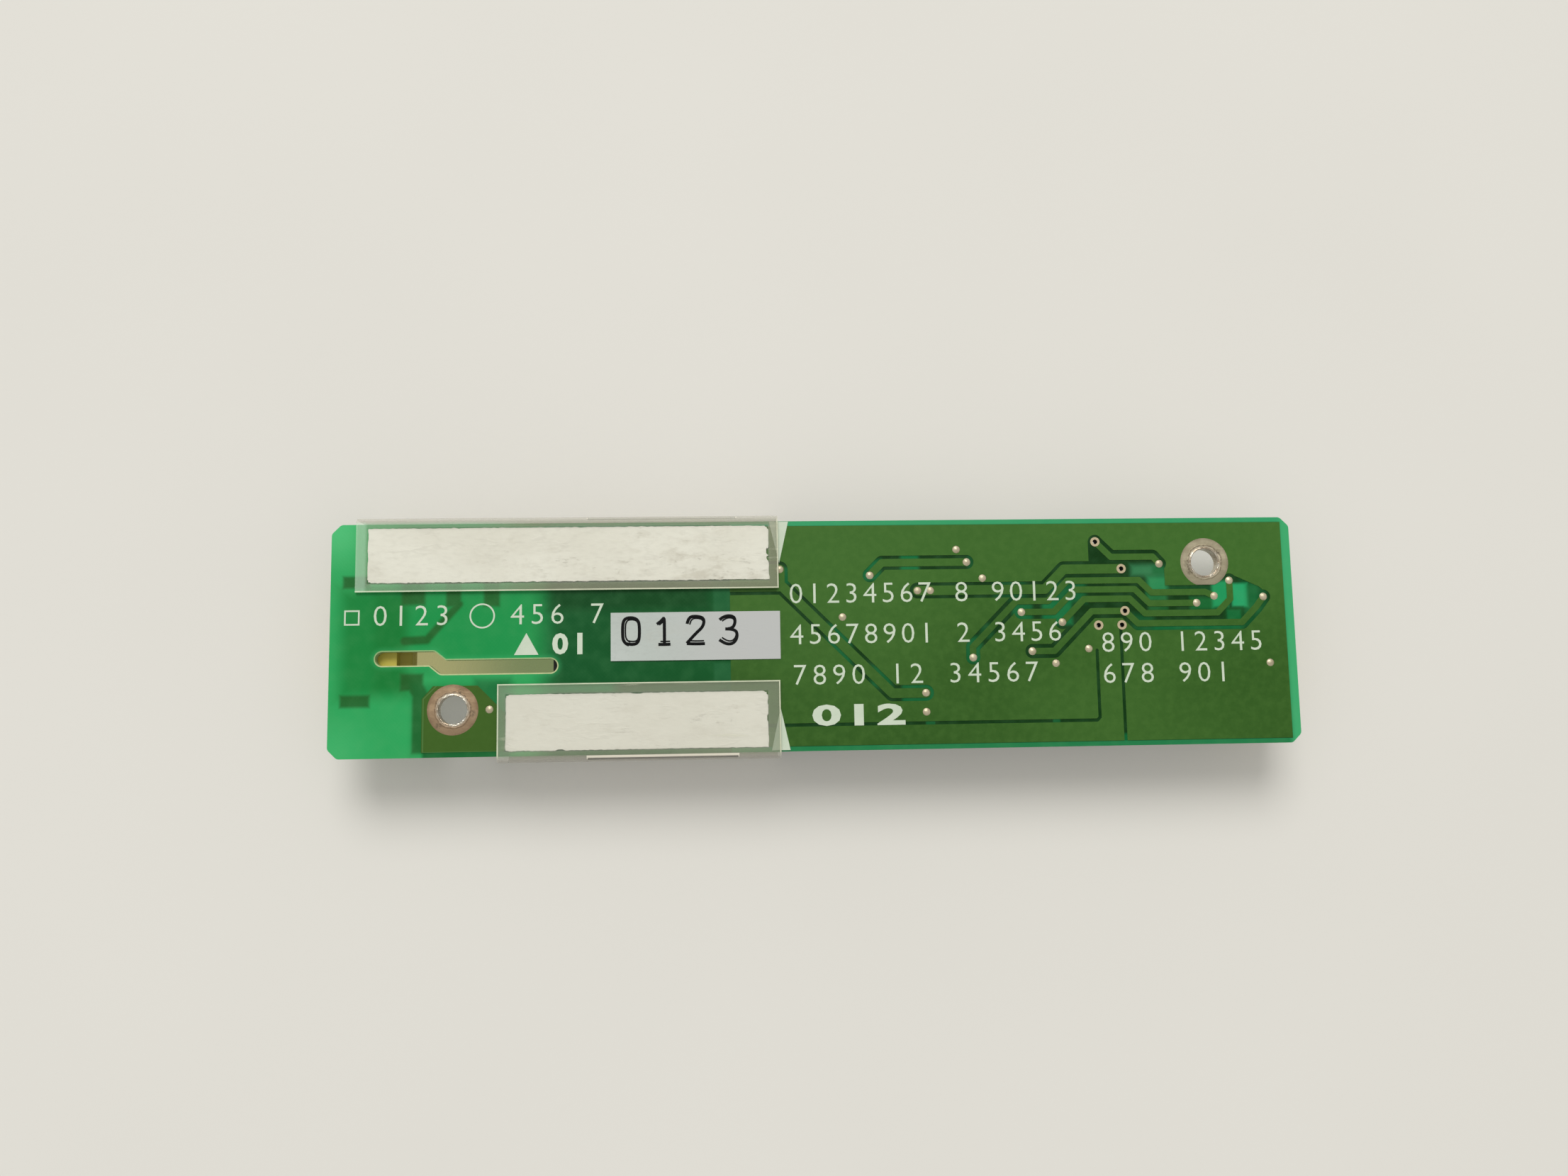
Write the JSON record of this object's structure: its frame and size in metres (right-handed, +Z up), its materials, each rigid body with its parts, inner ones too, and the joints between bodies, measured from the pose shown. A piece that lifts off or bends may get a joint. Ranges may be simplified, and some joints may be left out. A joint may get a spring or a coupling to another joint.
{
  "type": "lcd inverter board",
  "caption": "Long narrow backlight inverter circuit board with an isolation slot, plated screw holes and a clear insulating film folded round its transformer end.",
  "frame": {"origin": "on the surface that the part rests on, under the middle of the board's plan", "axes": "+X from the lamp connector to the input connector along the board, +Y across the board, +Z up, out of the solder side"},
  "size_m": [0.105, 0.0264, 0.0086],
  "materials": {
    "laminate": "green solder mask over glass-epoxy laminate, satin gloss",
    "masked_copper": "copper under green solder mask, satin gloss",
    "tinned_copper": "tinned copper, soft sheen",
    "plated_ring": "copper plating dulled by flux, satin",
    "solder": "bright solder",
    "clear_film": "clear polyester film, glossy",
    "white_tape": "white double-sided tape, matte",
    "label": "white paper label, matte",
    "ferrite": "dark grey sintered ferrite, matte",
    "bobbin_resin": "black moulded resin, matte",
    "winding_wire": "enamelled copper wire, glossy",
    "yellow_tape": "yellow polyester tape, glossy",
    "housing_resin": "ivory nylon, matte",
    "ceramic_tan": "tan ceramic, matte",
    "grey_resin": "grey moulded resin, matte",
    "black_resin": "black moulded resin, matte",
    "white_ceramic": "white ceramic, satin",
    "can_aluminium": "satin aluminium"
  },
  "bodies": {
    "root": {"circuit_board": "laminate", "solder_side_copper": "masked_copper", "component_side_copper": "masked_copper", "component_side_pads": "tinned_copper", "mounting_ring_lamp_end": "plated_ring", "mounting_ring_input_end": "tinned_copper", "filled_vias": "solder", "open_vias": "tinned_copper", "insulation_film": "clear_film", "upper_flap_tape": "white_tape", "lower_flap_tape": "white_tape", "lot_label": "label", "transformer_core_lamp_end": "ferrite", "transformer_core_input_end": "ferrite", "transformer_bobbin": "bobbin_resin", "transformer_secondary_winding": "winding_wire", "transformer_primary_winding": "winding_wire", "transformer_wrap": "yellow_tape", "transformer_pins": "solder", "lamp_connector_housing": "housing_resin", "lamp_connector_pins": "solder", "lamp_connector_tabs": "solder", "ballast_capacitor_bodies": "ceramic_tan", "ballast_capacitor_ends": "solder", "resonance_capacitor_body": "grey_resin", "resonance_capacitor_ends": "solder", "switching_transistor_bodies": "black_resin", "switching_transistor_leads": "solder", "control_chip_body": "black_resin", "control_chip_leads": "solder", "regulator_chip_body": "black_resin", "regulator_chip_leads": "solder", "sense_chip_body": "black_resin", "sense_chip_leads": "solder", "diode_body": "black_resin", "diode_leads": "solder", "choke_core": "ferrite", "choke_winding": "winding_wire", "choke_base": "black_resin", "choke_terminals": "solder", "filter_capacitor_cans": "can_aluminium", "filter_capacitor_bases": "black_resin", "filter_capacitor_leads": "solder", "fuse_body": "white_ceramic", "fuse_ends": "solder", "chip_resistor_bodies": "black_resin", "chip_resistor_ends": "solder", "chip_capacitor_bodies": "ceramic_tan", "chip_capacitor_ends": "solder", "input_connector_housing": "housing_resin", "input_connector_pins": "solder", "input_connector_tabs": "solder"}
  },
  "joints": []
}
